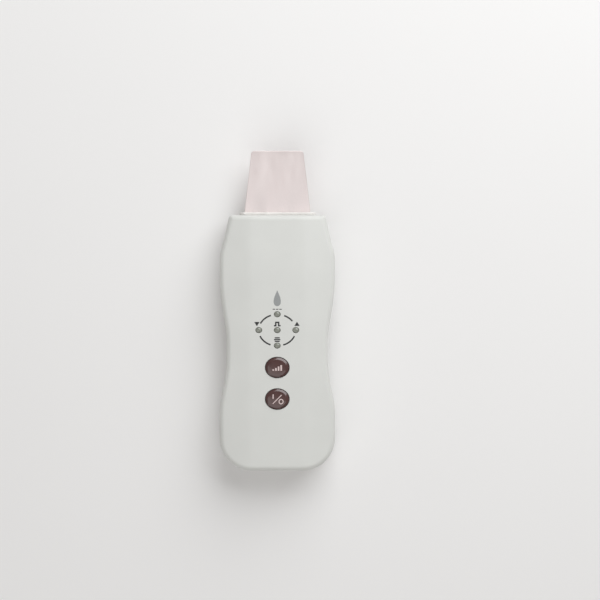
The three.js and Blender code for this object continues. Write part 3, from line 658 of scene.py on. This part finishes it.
DARK_INK = printed("dark_ink", (0.17, 0.172, 0.178))
GREY_INK = printed("grey_ink", (0.60, 0.61, 0.61))
PALE_INK = printed("pale_ink", (0.86, 0.78, 0.77), 0.4)

BY_SLOT = {
    "casing_plastic": CASING,
    "button_plastic": BUTTON,
    "seal_rubber": SEAL,
    "blade_steel": BLADE,
    "electrode_chrome": CHROME,
    "screw_steel": SCREW,
    "led_lens": LED,
    "black_plastic": BLACK,
    "white_plastic": WHITE,
    "board_laminate": BOARD,
    "copper": COPPER,
    "ferrite": FERRITE,
    "cell_can": CELL,
    "nickel": NICKEL,
    "piezo_ceramic": CERAMIC,
    "horn_aluminium": ALUMINIUM,
    "dark_rubber": DARK_RUBBER,
    "foam": FOAM,
    "wire_red": WIRE_RED,
    "wire_black": WIRE_BLACK,
    "wire_blue": WIRE_BLUE,
}
WOUND = ("transformer_coil", "tuning_coil")

# ---------- Casing pieces ----------

LAMPS = ("top", "left", "centre", "right", "bottom")
lamp_places = {name: middle(f"indicator_led_{name}") for name in LAMPS}
button_places = {name: middle(f"{name}_button") for name in ("level", "power")}
LAMP_A, LAMP_B = 1.6, 1.4
BUTTON_A, BUTTON_B = 6, 5.15
INK = 0.04
NOSE_SLOT = {"half_long": 18.7, "half_high": 2.2}
SEAL_NECK = {"half_long": 18.4, "half_high": 1.9}
SEAL_SLOT = {"half_long": 17.7, "half_high": 0.85}
# Radii of the posts inside the covers and of the bores up them.
CASE_POST = {"front": 3, "rear": 4, "bore": 1.5}
BOARD_POST = {"front": 2.5, "bore": 1.35}
CLAMP_POST = {"rear": 2.6, "bore": 1.1}
SCREW_WELL = 3.1
SCREW_NAMES = [f"case_screw_{level}_{side}" for level in ("lower", "upper") for side in ("left", "right")]
case_screw_places = [middle(name).xy for name in SCREW_NAMES]
board_screw_places = [middle(f"board_screw_{side}").xy for side in ("left", "right")]
clamp_screw_places = [middle(f"clamp_screw_{side}").xy for side in ("left", "right")]
BOARD_TOP = node_box("main_board")[1].z
slot_cutter = nose_slab("slot", *NOSE_SLOT.values(), Y_NOSE - WALL - 1, Y_NOSE + 1)


def post(r, at, z0, z1):
    return turned("post", [(0, z0), (r, z0), (r, z1), (0, z1)], at, sides=48)


def block(low, high):
    (x0, y0, z0), (x1, y1, z1) = low, high
    corners = [(x0, y0), (x1, y0), (x1, y1), (x0, y1)]
    return stacked("block", [[(x, y, z) for x, y in corners] for z in (z0, z1)])


def inside_walls(feature):
    """The part of a moulded feature that is above the middle of the casing's walls."""
    return combined(feature, [near_body], "INTERSECT")


def whole_body(inset):
    """The casing's shape drawn in by inset, as one closed mesh."""
    front = max(FRONT_EDGE - inset, 0.5)
    rear = max(REAR_EDGE - inset, 0.5)
    loops = [
        *edge_loops(inset, front, front_height, -1, 3),
        *edge_loops(inset, rear, rear_height, 1, 4)[::-1],
    ]
    upper = plan_grid(inset + front, lambda x, y: front_height(x, y) - inset)
    lower = plan_grid(inset + rear, lambda x, y: rear_height(x, y) + inset)
    return skin("body", upper, loops, lower)


def ring_wall(outer, inner, z0, z1):
    """An upright band that follows the outline, between two insets."""
    walls = [
        skin("wall", plan_grid(inset, lambda x, y: z1), [], plan_grid(inset, lambda x, y: z0))
        for inset in (outer, inner)
    ]
    return cut(walls[0], [walls[1]])


near_body = whole_body(WALL / 2)


def front_cover():
    """Front half of the casing, with its posts and the openings for the controls."""
    shell = half_shell("front_cover_shell", front_height, -1, FRONT_EDGE, PARTING + SEAM)
    cutters = [
        hole_cutter(BUTTON_A + GAP, BUTTON_B + GAP, (0, place.y), front_height, rounding=0.3)
        for place in button_places.values()
    ]
    cutters += [
        hole_cutter(LAMP_A + 0.12, LAMP_B + 0.12, (place.x, place.y), front_height, rounding=0.15)
        for place in lamp_places.values()
    ]
    posts = [post(CASE_POST["front"], at, PARTING + SEAM, CROWN) for at in case_screw_places]
    posts += [post(BOARD_POST["front"], at, BOARD_TOP + GAP, CROWN) for at in board_screw_places]
    shell = combined(shell, [inside_walls(p) for p in posts], "UNION")
    cutters += [post(CASE_POST["bore"], at, PARTING - 1, 19.5) for at in case_screw_places]
    cutters += [post(BOARD_POST["bore"], at, PARTING, 20) for at in board_screw_places]
    shell = cut(shell, [*cutters, slot_cutter])
    add_piece("front_cover_shell", shell, "housing", CASING, ["front_cover"])


def pill_layers(grow, levels):
    """Loops of the hand electrode's outline at several (inset, height) pairs."""
    low, high = node_box("hand_electrode")
    centre_y = (low.y + high.y) / 2
    layers = []
    for inset, z in levels:
        ring = stadium((high.y - low.y) / 2 + grow - inset, high.x + grow - inset, 16)
        layers.append([(y, centre_y + x, z) for x, y in ring])
    return layers


def cradle(y):
    """A rib across the handle with a round notch for one of the transducer's rubber rings."""
    rib = block((-16, y - 1, 0), (16, y + 1, PARTING - SEAM))
    notch = turned("notch", [(0, -y - 2), (7.8, -y - 2), (7.8, -y + 2), (0, -y + 2)], along="Y", sides=72)
    notch.transform(translation(0, 0, PARTING))
    return cut(rib, [notch])


def seam_lip():
    """The lip that the front cover drops over, left out round the blade and the charging pins."""
    foot = ring_wall(WALL - 0.5, WALL + 1.1, PARTING - 2.2, PARTING - SEAM)
    lip = ring_wall(WALL + GAP, WALL + 1.1, PARTING - 0.5, PARTING + 1.3)
    breaks = [block((-20.5, Y_NOSE - 6, 0), (20.5, 100, 40)), block((-12, -100, 0), (12, Y_END + 6, 40))]
    return cut(combined(foot, [lip], "UNION"), breaks)


def rear_cover():
    """Rear half of the casing, with the posts, ribs and seam lip, and the openings in its back and end."""
    shell = half_shell("rear_cover_shell", rear_height, 1, REAR_EDGE, PARTING - SEAM)
    posts = [post(CASE_POST["rear"], at, 0, PARTING - SEAM) for at in case_screw_places]
    posts += [post(CLAMP_POST["rear"], at, 0, PARTING - SEAM) for at in clamp_screw_places]
    cells_low, cells_high = node_box("battery_cell_middle")
    stops = [block((-14, y - 0.6, 0), (14, y + 0.6, 5)) for y in (cells_high.y + 3, cells_low.y - 2.5)]
    ribs = [cradle(middle(f"isolation_ring_{place}").y) for place in ("front", "rear")]
    shell = combined(shell, [inside_walls(feature) for feature in [*posts, *stops, *ribs]], "UNION")
    shell = combined(shell, [seam_lip()], "UNION")
    pocket_levels = [(0, 1.1), (0, 0.25), (-0.12, 0.08), (-0.4, -0.02), (-0.4, -1)]
    cutters = [stacked("pocket", pill_layers(GAP, pocket_levels)), slot_cutter]
    cutters += [
        hole_cutter(SCREW_WELL, SCREW_WELL, at, rear_height, -1, depth=5, rounding=0.4)
        for at in case_screw_places
    ]
    cutters += [post(CASE_POST["bore"], at, 1, PARTING) for at in case_screw_places]
    cutters += [post(CLAMP_POST["bore"], at, 5, PARTING) for at in clamp_screw_places]
    cutters.append(post(1.3, (0, node_box("hand_electrode")[1].y - 4), 0, 4))
    face = -Y_END
    pin_hole = [(0, face - 3.5), (1.8, face - 3.5), (1.8, face - 0.3), (1.9, face - 0.1), (2.1, face)]
    pin_hole += [(2.1, face + 1.5), (0, face + 1.5)]
    for side in ("left", "right"):
        place = middle(f"charging_pin_{side}")
        hole = turned("pin_hole", pin_hole, along="Y", sides=48)
        hole.transform(translation(place.x, 0, place.z))
        cutters.append(hole)
    shell = cut(shell, cutters)
    add_piece("rear_cover_shell", shell, "housing", CASING, ["rear_cover"])


def case_screw(name):
    """Pan-head screw seen from below, with a cross recess."""
    low, high = node_box(name)
    centre = middle(name)
    r = (high.x - low.x) / 2
    z = low.z
    turns = [math.radians(t) for t in range(15, 91, 15)]
    head = [(0, z), *[(r * math.sin(turn), z + 0.9 * (1 - math.cos(turn))) for turn in turns]]
    head += [(r, z + 1.9), (r - 0.1, z + 2), (1.2, z + 2), (1.2, high.z - 1), (0.3, high.z), (0, high.z)]
    body = turned(name + "_head", head, (centre.x, centre.y), sides=48)
    arms = []
    for long, wide in ((0.55 * r, 0.32), (0.32, 0.55 * r)):
        outer = dash(centre.x, centre.y, long, wide)
        inner = dash(centre.x, centre.y, 0.7 * long, 0.7 * wide)
        arms.append(stacked("arm", [[(*p, z - 1) for p in outer], [(*p, z + 1.3) for p in inner]]))
    add_piece(name + "_head", cut(body, arms), "housing", SCREW, [name], 30)


def blade_seal():
    """Soft collar round the blade, with a bead along its outer edge."""
    low, high = node_box("blade_seal")
    half_long, half_high = high.x, (high.z - low.z) / 2
    outer = nose_slab("collar", half_long, half_high, Y_NOSE + GAP, high.y, 0.55)
    neck = nose_slab("neck", *SEAL_NECK.values(), low.y + 1, Y_NOSE + GAP + 0.1)
    inner = nose_slab("inner", half_long, half_high, low.y, Y_NOSE - WALL - GAP)
    layers = []
    for flare, y in ((0, 40), (0, high.y - 0.3), (0.3, high.y + 0.02), (0.3, 55)):
        opening = dash(0, PARTING, SEAL_SLOT["half_long"] + flare, SEAL_SLOT["half_high"] + flare)
        layers.append([(x, y, z) for x, z in opening])
    collar = cut(combined(outer, [neck, inner], "UNION"), [stacked("slot", layers)])
    add_piece("blade_collar", collar, "housing", SEAL, ["blade_seal"], 40)


def hand_electrode():
    low, high = node_box("hand_electrode")
    bottom = low.z
    levels = [(0.0, bottom + 0.6), (0.0, bottom + 0.22), (0.07, bottom + 0.07), (0.22, bottom)]
    levels += [(1.0, bottom), (2.0, bottom), (3.5, bottom)]
    plate = stacked("hand_electrode_plate", pill_layers(0, levels))
    plate = combined(plate, [post(1, (0, high.y - 4), bottom + 0.3, high.z)], "UNION")
    add_piece("hand_electrode_plate", plate, "housing", CHROME, ["hand_electrode"], 30)


def charging_pin(side):
    name = f"charging_pin_{side}"
    low, high = node_box(name)
    centre = middle(name)
    start, end = -high.y, -low.y
    flange_from, flange_to = start + 2.9, start + 3.7
    profile = [(0, start), (0.6, start), (0.6, flange_from), (2.3, flange_from), (2.3, flange_to)]
    profile += [(1.5, flange_to), (1.5, end - 0.4), (1.44, end - 0.2), (1.3, end - 0.06)]
    profile += [(1.1, end), (0, end)]
    pin = turned(name + "_contact", profile, along="Y", sides=48)
    pin.transform(translation(centre.x, 0, centre.z))
    add_piece(name + "_contact", pin, "housing", NICKEL, [name], 30)


# ---------- Blade ----------

BEND_FROM = 52
BEND_ANGLE = math.radians(26)
BLADE_THICK = 1.1
TIP_THICK = 0.5
BLADE_ROOT = 37.5
FLARE = {"from": 43, "to": 45.4}
BLADE_HALF = {"tab": 6, "base": 17.4, "tip": 13.4}
BLADE_CORNER = 1.6
EDGE_ROUND = 0.22
BEND_RUN = Y_TIP - BEND_FROM - TIP_THICK / 2 * math.sin(BEND_ANGLE)
BEND_RADIUS = BEND_RUN / math.sin(BEND_ANGLE)
BEND_LENGTH = BEND_RADIUS * BEND_ANGLE


def smoothstep(t):
    t = min(max(t, 0), 1)
    return t * t * (3 - 2 * t)


def blade_point(x, s, off):
    """A point of the blade: x across it and s along it from the bend's start.

    off is how far it is above the middle of the plate, as a share of half the thickness.
    """
    turn = max(s, 0) / BEND_RADIUS
    run = s if s < 0 else BEND_RADIUS * math.sin(turn)
    ground = smoothstep((s / BEND_LENGTH - 0.7) / 0.3)
    lift = off * (BLADE_THICK + (TIP_THICK - BLADE_THICK) * ground) / 2
    z = PARTING + BEND_RADIUS * (1 - math.cos(turn))
    return (x, BEND_FROM + run - lift * math.sin(turn), z + lift * math.cos(turn))


def blade_half(s, inset):
    """Half width of the blade at a distance along it."""
    y = BEND_FROM + (s if s < 0 else BEND_RADIUS * math.sin(s / BEND_RADIUS))
    end = BEND_FROM + BEND_RUN
    share = max((y - Y_NOSE) / (end - Y_NOSE), 0)
    side = BLADE_HALF["base"] + (BLADE_HALF["tip"] - BLADE_HALF["base"]) * share - inset
    corner = max(BLADE_CORNER - inset, 0.3)
    into_corner = max(corner - (BEND_LENGTH - inset - s), 0)
    return side - corner + math.sqrt(max(corner**2 - into_corner**2, 0))


def blade_grid(inset, off):
    """Rows of points over one face of the blade, drawn in from its outline."""
    tip = BEND_LENGTH - inset
    corner = max(BLADE_CORNER - inset, 0.3)
    rows = [
        (BLADE_ROOT - BEND_FROM + inset, BLADE_HALF["tab"] - inset),
        (FLARE["from"] - BEND_FROM, BLADE_HALF["tab"] - inset),
        (FLARE["to"] - BEND_FROM, BLADE_HALF["base"] - inset),
    ]
    shares = [i / 30 for i in range(31)]
    rows += [(s, blade_half(s, inset)) for s in (share * (tip - corner) for share in shares)]
    turns = [math.radians(t) for t in range(15, 91, 15)]
    rows += [(s, blade_half(s, inset)) for s in (tip - corner * (1 - math.sin(t)) for t in turns)]
    return [[blade_point((c / 12 - 1) * half, s, off) for c in range(25)] for s, half in rows]


def scraper_blade():
    loops = []
    for i in range(1, 8):
        turn = i / 8 * math.pi
        loops.append(rim(blade_grid(EDGE_ROUND * (1 - math.sin(turn)), math.cos(turn))))
    mesh = skin("scraper_blade_plate", blade_grid(EDGE_ROUND, 1), loops, blade_grid(EDGE_ROUND, -1))
    add_piece("scraper_blade_plate", mesh, "housing", BLADE, ["scraper_blade"], 50)


# ---------- Controls ----------


def cap_height(r, peak):
    """Height of a button's top at a share r of its radius: a shallow dome inside a rolled edge."""
    dome = peak - 0.12 * r**2
    bevel = 0.85 * smoothstep((r - 0.74) / 0.4)
    return dome - bevel


def button(name):
    """Domed cap over a retaining lip and a pusher. Returns the height of its peak."""
    low, high = node_box(f"{name}_button")
    place = button_places[name]
    face = front_height(0, place.y)
    lip_top = face - WALL - 0.45
    peak = high.z - 0.02
    lip_foot = lip_top - 0.8
    lip_r = BUTTON_A + 0.9
    profile = [(0, low.z), (3, low.z), (3, lip_foot), (lip_r, lip_foot), (lip_r, lip_top)]
    profile += [(BUTTON_A, lip_top), (BUTTON_A, cap_height(1, peak) - 0.25)]
    shares = [1, 0.995, 0.985, 0.97, 0.95, 0.925, 0.9, 0.87, 0.84, 0.8, 0.7, 0.6, 0.5, 0.4, 0.3, 0.2, 0.1]
    profile += [(BUTTON_A * r - (0.06 if r == 1 else 0), cap_height(r, peak)) for r in shares]
    profile += [(0, peak)]
    cap = turned(f"{name}_button_cap", profile, (0, place.y), BUTTON_B / BUTTON_A, 96)
    add_piece(cap.name, cap, f"{name}_button", BUTTON, [f"{name}_button"], 40)
    return peak


def stamp(outline, height):
    """One printed mark: a thin closed sheet on a surface whose height is height(x, y)."""
    return stacked("mark", [[(x, y, height(x, y) + off) for x, y in outline] for off in (-0.06, INK)])


def band(line, half_width):
    """Outline of a line of even width, with mitred corners."""
    spots = [Vector(p) for p in line]
    steps = [(b - a).normalized() for a, b in zip(spots, spots[1:])]
    left, right = [], []
    for spot, before, after in zip(spots, [steps[0], *steps], [*steps, steps[-1]]):
        ahead = (before + after).normalized()
        side = Vector((-ahead.y, ahead.x)) * half_width / max(ahead.dot(after), 0.5)
        left.append(spot + side)
        right.append(spot - side)
    return [tuple(p) for p in left + right[::-1]]


def oval_arc(centre, a, b, start, end):
    """Points along an oval between two angles in degrees."""
    steps = 24
    turns = [math.radians(start + (end - start) * i / steps) for i in range(steps + 1)]
    return [(centre[0] + a * math.cos(t), centre[1] + b * math.sin(t)) for t in turns]


def droplet(x, y, half_wide, half_tall):
    """Outline of a drop that hangs from its point."""
    outline = []
    for i in range(48):
        turn = math.tau * i / 48
        belly = math.sin(turn) * math.sin(turn / 2) ** 1.4
        outline.append((x + half_wide * belly, y + half_tall * math.cos(turn)))
    return outline


RING_A, RING_B = 9.5, 8.05
MARK_RISE = 3.1


def front_prints():
    """Printing on the front face: the broken ring, a small pictogram over each lamp, and a drop."""
    ring = lamp_places["centre"]
    above = {name: (place.x, place.y + MARK_RISE) for name, place in lamp_places.items()}
    marks = [
        band(oval_arc(ring, RING_A, RING_B, start, end), 0.38)
        for start, end in ((35, 68), (110, 155), (202, 249), (289, 338))
    ]
    x, y = above["left"]
    marks.append([(x - 2.3, y + 1.1), (x + 0.4, y + 1.1), (x - 0.95, y - 1.05)])
    x, y = above["right"]
    marks.append([(x - 0.7, y - 0.9), (x + 2.0, y - 0.9), (x + 0.65, y + 1.25)])
    x, y = above["centre"]
    pulse = [(-1.7, -0.8), (-0.75, -0.8), (-0.75, 0.9), (0.75, 0.9), (0.75, -0.8), (1.7, -0.8)]
    marks.append(band([(x + px, y + py) for px, py in pulse], 0.36))
    x, y = above["bottom"]
    marks += [dash(x, y + 0.9 * i, 1.6 - 0.3 * abs(i), 0.3) for i in (-1, 0, 1)]
    x, y = above["top"]
    marks += [dash(x + 1.7 * i, y - 0.5, 0.62, 0.2) for i in (-1, 0, 1)]
    ink = [stamp(mark, front_height) for mark in marks]
    add_piece("front_print", join("front_print", ink), "housing", DARK_INK, sharp=30)
    drop = stamp(droplet(0, above["top"][1] + 5.2, 2.6, 4.1), front_height)
    add_piece("front_emblem", drop, "housing", GREY_INK, sharp=30)


def button_print(name, marks, peak):
    """Pale printing on a button. marks are outlines about its middle."""
    place = button_places[name]

    def height(x, y):
        return cap_height(math.hypot(x / BUTTON_A, (y - place.y) / BUTTON_B), peak)

    ink = [stamp([(x, y + place.y) for x, y in mark], height) for mark in marks]
    mesh = join(f"{name}_print", ink)
    add_piece(mesh.name, mesh, f"{name}_button", PALE_INK, sharp=30)


LEVEL_MARKS = [dash(1.35 * i - 2.0, 0.36 * (i + 1) - 1.6, 0.42, 0.36 * (i + 1)) for i in range(4)]
POWER_MARKS = [
    dash(-2.1, 1.3, 0.28, 1.15),
    band([(0.46 * i - 2.3, 0.46 * i - 2.4) for i in range(11)], 0.22),
    *[band(oval_arc((2.0, -1.25), 1.05, 1.15, start, start + 180), 0.25) for start in (0, 180)],
]


def lamp(name):
    """Lamp head: an oval dome with a small flange below the cover."""
    node = f"indicator_led_{name}"
    low, high = node_box(node)
    place = lamp_places[name]
    top = high.z
    foot, flange_top, flange_r, dome = 18.7, 19.5, LAMP_A + 0.35, 0.75
    profile = [(0, foot), (flange_r, foot), (flange_r, flange_top), (LAMP_A, flange_top)]
    profile += [(LAMP_A, top - dome)]
    turns = [math.radians(t) for t in range(10, 90, 10)]
    profile += [(LAMP_A * math.cos(turn), top - dome + dome * math.sin(turn)) for turn in turns]
    profile += [(0, top)]
    head = turned(node + "_head", profile, (place.x, place.y), LAMP_B / LAMP_A, 48)
    legs = [
        block((x - 0.25, place.y - 0.25, low.z), (x + 0.25, place.y + 0.25, foot + 0.2))
        for x in (place.x - 0.9, place.x + 0.9)
    ]
    head = combined(head, legs, "UNION")
    add_piece(node + "_head", head, "housing", LED, [node], 50)


front_cover()
rear_cover()
for name in SCREW_NAMES:
    case_screw(name)
blade_seal()
hand_electrode()
for side in ("left", "right"):
    charging_pin(side)
scraper_blade()
front_prints()
button_print("level", LEVEL_MARKS, button("level"))
button_print("power", POWER_MARKS, button("power"))
for name in LAMPS:
    lamp(name)

# ---------- Pieces inside ----------


def softened(name, body, material):
    """An inner CAD part with its facets smoothed and its edges broken."""
    shape = bmesh.new()
    shape.from_mesh(frame["nodes"][name].data)
    bmesh.ops.remove_doubles(shape, verts=shape.verts, dist=0.002 * MM)
    bmesh.ops.dissolve_limit(shape, angle_limit=math.radians(1), verts=shape.verts, edges=shape.edges)
    mesh = bpy.data.meshes.new(f"{name}_part")
    shape.to_mesh(mesh)
    shape.free()
    is_lead = name.endswith(("_red", "_black", "_lead"))
    broken_from = math.radians(70 if is_lead else 50)
    bevel = {"width": 0.12 * MM, "segments": 2, "limit_method": "ANGLE", "angle_limit": broken_from}
    mesh = evaluated(mesh, ("BEVEL", bevel))
    add_piece(f"{name}_part", mesh, body, material, [name], 65 if is_lead else 38)


body_of = {node: body for body, nodes in frame["record"]["behaviour"]["bodies"].items() for node in nodes}
for part in frame["record"]["subparts"]:
    name, slot = part["node"], part["material_slot"]
    if not frame["nodes"][name].hide_render:
        softened(name, body_of[name], WINDING if name in WOUND else BY_SLOT[slot])

# ---------- Floor and light ----------


def floor():
    mesh = bpy.data.meshes.new("floor")
    mesh.from_pydata([(-3, -3, 0), (3, -3, 0), (3, 3, 0), (-3, 3, 0)], [], [(0, 1, 2, 3)])
    s = Surface("floor_paper", 0.75)
    s.tint(s.blend(s.noise(0.2, 4), (0.945, 0.94, 0.937), (0.955, 0.95, 0.947)))
    s.bump(s.noise(0.0008, 3), 0.00002)
    mesh.materials.append(s.material)
    made = bpy.data.objects.new("floor", mesh)
    made.location.z = -0.0002
    bpy.context.scene.collection.objects.link(made)


def area_light(name, place, size, power, tint=(1, 1, 1)):
    """A square soft light that faces the middle of the object."""
    data = bpy.data.lights.new(name, "AREA")
    data.shape = "SQUARE"
    data.size = size
    data.energy = power
    data.color = tint
    lamp_object = bpy.data.objects.new(name, data)
    lamp_object.location = place
    lamp_object.rotation_euler = (-Vector(place)).to_track_quat("-Z", "Y").to_euler()
    bpy.context.scene.collection.objects.link(lamp_object)


floor()
area_light("key_light", (0.35, 0.69, 0.64), 1.0, 9.4, (0.97, 0.988, 1.0))
area_light("overhead_light", (-0.35, -0.95, 1.45), 2.1, 12)
world = bpy.data.worlds.new("studio")
world.use_nodes = True
world.node_tree.nodes["Background"].inputs["Color"].default_value = (1.0, 0.975, 0.94, 1)
world.node_tree.nodes["Background"].inputs["Strength"].default_value = 0.25
bpy.context.scene.world = world

bpy.context.view_layer.update()
